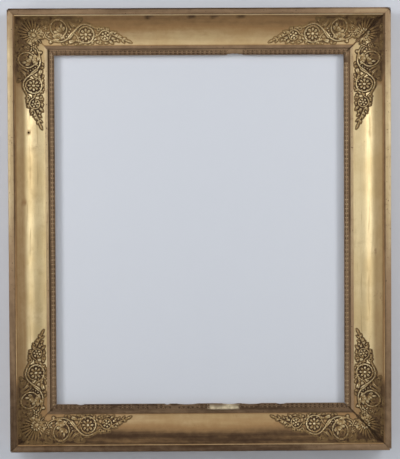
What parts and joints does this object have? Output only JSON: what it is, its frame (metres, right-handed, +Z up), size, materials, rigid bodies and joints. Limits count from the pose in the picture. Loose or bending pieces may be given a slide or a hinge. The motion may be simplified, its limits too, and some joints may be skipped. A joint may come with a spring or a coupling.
{
  "type": "picture frame",
  "caption": "Rectangular gilded cove picture frame with cast scroll and palmette corners, a rebate for a canvas, turn buttons and strap hangers behind.",
  "frame": {"origin": "the middle of the plane where the frame's back meets the wall", "axes": "+X to the right as seen from the front, +Y back into the wall, +Z up"},
  "size_m": [0.69, 0.072, 0.8],
  "materials": {
    "gilded_cove": "satin",
    "gilded_edge": "satin",
    "gilded_sight": "satin",
    "gilded_leaf_strip": "matte",
    "gilded_ornament": "satin",
    "pine": "matte",
    "key_wood": "matte",
    "steel": "satin",
    "brass": "satin"
  },
  "bodies": {
    "frame": {"base_rail_bottom": "pine", "base_rail_top": "pine", "base_stile_left": "pine", "base_stile_right": "pine", "cove_bottom": "gilded_cove", "cove_left": "gilded_cove", "cove_right": "gilded_cove", "cove_top": "gilded_cove", "edge_board_bottom": "gilded_edge", "edge_board_left": "gilded_edge", "edge_board_right": "gilded_edge", "edge_board_top": "gilded_edge", "hanger_screws": "steel", "hanger_strap_left": "steel", "hanger_strap_right": "steel", "lap_pegs": "key_wood", "leaf_strip_bottom": "gilded_leaf_strip", "leaf_strip_left": "gilded_leaf_strip", "leaf_strip_right": "gilded_leaf_strip", "leaf_strip_top": "gilded_leaf_strip", "mitre_keys": "key_wood", "palmette_bottom_left": "gilded_ornament", "palmette_bottom_right": "gilded_ornament", "palmette_top_left": "gilded_ornament", "palmette_top_right": "gilded_ornament", "scroll_arm_across_bottom_left": "gilded_ornament", "scroll_arm_across_bottom_right": "gilded_ornament", "scroll_arm_across_top_left": "gilded_ornament", "scroll_arm_across_top_right": "gilded_ornament", "scroll_arm_upright_bottom_left": "gilded_ornament", "scroll_arm_upright_bottom_right": "gilded_ornament", "scroll_arm_upright_top_left": "gilded_ornament", "scroll_arm_upright_top_right": "gilded_ornament", "sight_moulding_bottom": "gilded_sight", "sight_moulding_left": "gilded_sight", "sight_moulding_right": "gilded_sight", "sight_moulding_top": "gilded_sight", "turn_button_screws": "brass"},
    "hanger_ring_left": {"hanger_ring_left": "steel"},
    "hanger_ring_right": {"hanger_ring_right": "steel"},
    "turn_button_bottom_left": {"turn_button_bottom_left": "brass"},
    "turn_button_bottom_right": {"turn_button_bottom_right": "brass"},
    "turn_button_left_lower": {"turn_button_left_lower": "brass"},
    "turn_button_left_upper": {"turn_button_left_upper": "brass"},
    "turn_button_right_lower": {"turn_button_right_lower": "brass"},
    "turn_button_right_upper": {"turn_button_right_upper": "brass"},
    "turn_button_top_left": {"turn_button_top_left": "brass"},
    "turn_button_top_right": {"turn_button_top_right": "brass"}
  },
  "joints": [
    {"name": "hanger_ring_left_swing", "type": "hinge", "parent": "frame", "child": "hanger_ring_left", "pos_m": [-0.30275, -0.005, 0.15], "axis": [1, 0, 0], "range_deg": [0, 180]},
    {"name": "hanger_ring_right_swing", "type": "hinge", "parent": "frame", "child": "hanger_ring_right", "pos_m": [0.30275, -0.005, 0.15], "axis": [1, 0, 0], "range_deg": [0, 180]},
    {"name": "turn_button_bottom_left_turn", "type": "hinge", "parent": "frame", "child": "turn_button_bottom_left", "pos_m": [-0.145, -0.007, -0.342], "axis": [0, 1, 0], "continuous": true},
    {"name": "turn_button_bottom_right_turn", "type": "hinge", "parent": "frame", "child": "turn_button_bottom_right", "pos_m": [0.145, -0.007, -0.342], "axis": [0, 1, 0], "continuous": true},
    {"name": "turn_button_left_lower_turn", "type": "hinge", "parent": "frame", "child": "turn_button_left_lower", "pos_m": [-0.287, -0.007, -0.2], "axis": [0, 1, 0], "continuous": true},
    {"name": "turn_button_left_upper_turn", "type": "hinge", "parent": "frame", "child": "turn_button_left_upper", "pos_m": [-0.287, -0.007, 0.2], "axis": [0, 1, 0], "continuous": true},
    {"name": "turn_button_right_lower_turn", "type": "hinge", "parent": "frame", "child": "turn_button_right_lower", "pos_m": [0.287, -0.007, -0.2], "axis": [0, 1, 0], "continuous": true},
    {"name": "turn_button_right_upper_turn", "type": "hinge", "parent": "frame", "child": "turn_button_right_upper", "pos_m": [0.287, -0.007, 0.2], "axis": [0, 1, 0], "continuous": true},
    {"name": "turn_button_top_left_turn", "type": "hinge", "parent": "frame", "child": "turn_button_top_left", "pos_m": [-0.145, -0.007, 0.342], "axis": [0, 1, 0], "continuous": true},
    {"name": "turn_button_top_right_turn", "type": "hinge", "parent": "frame", "child": "turn_button_top_right", "pos_m": [0.145, -0.007, 0.342], "axis": [0, 1, 0], "continuous": true}
  ]
}
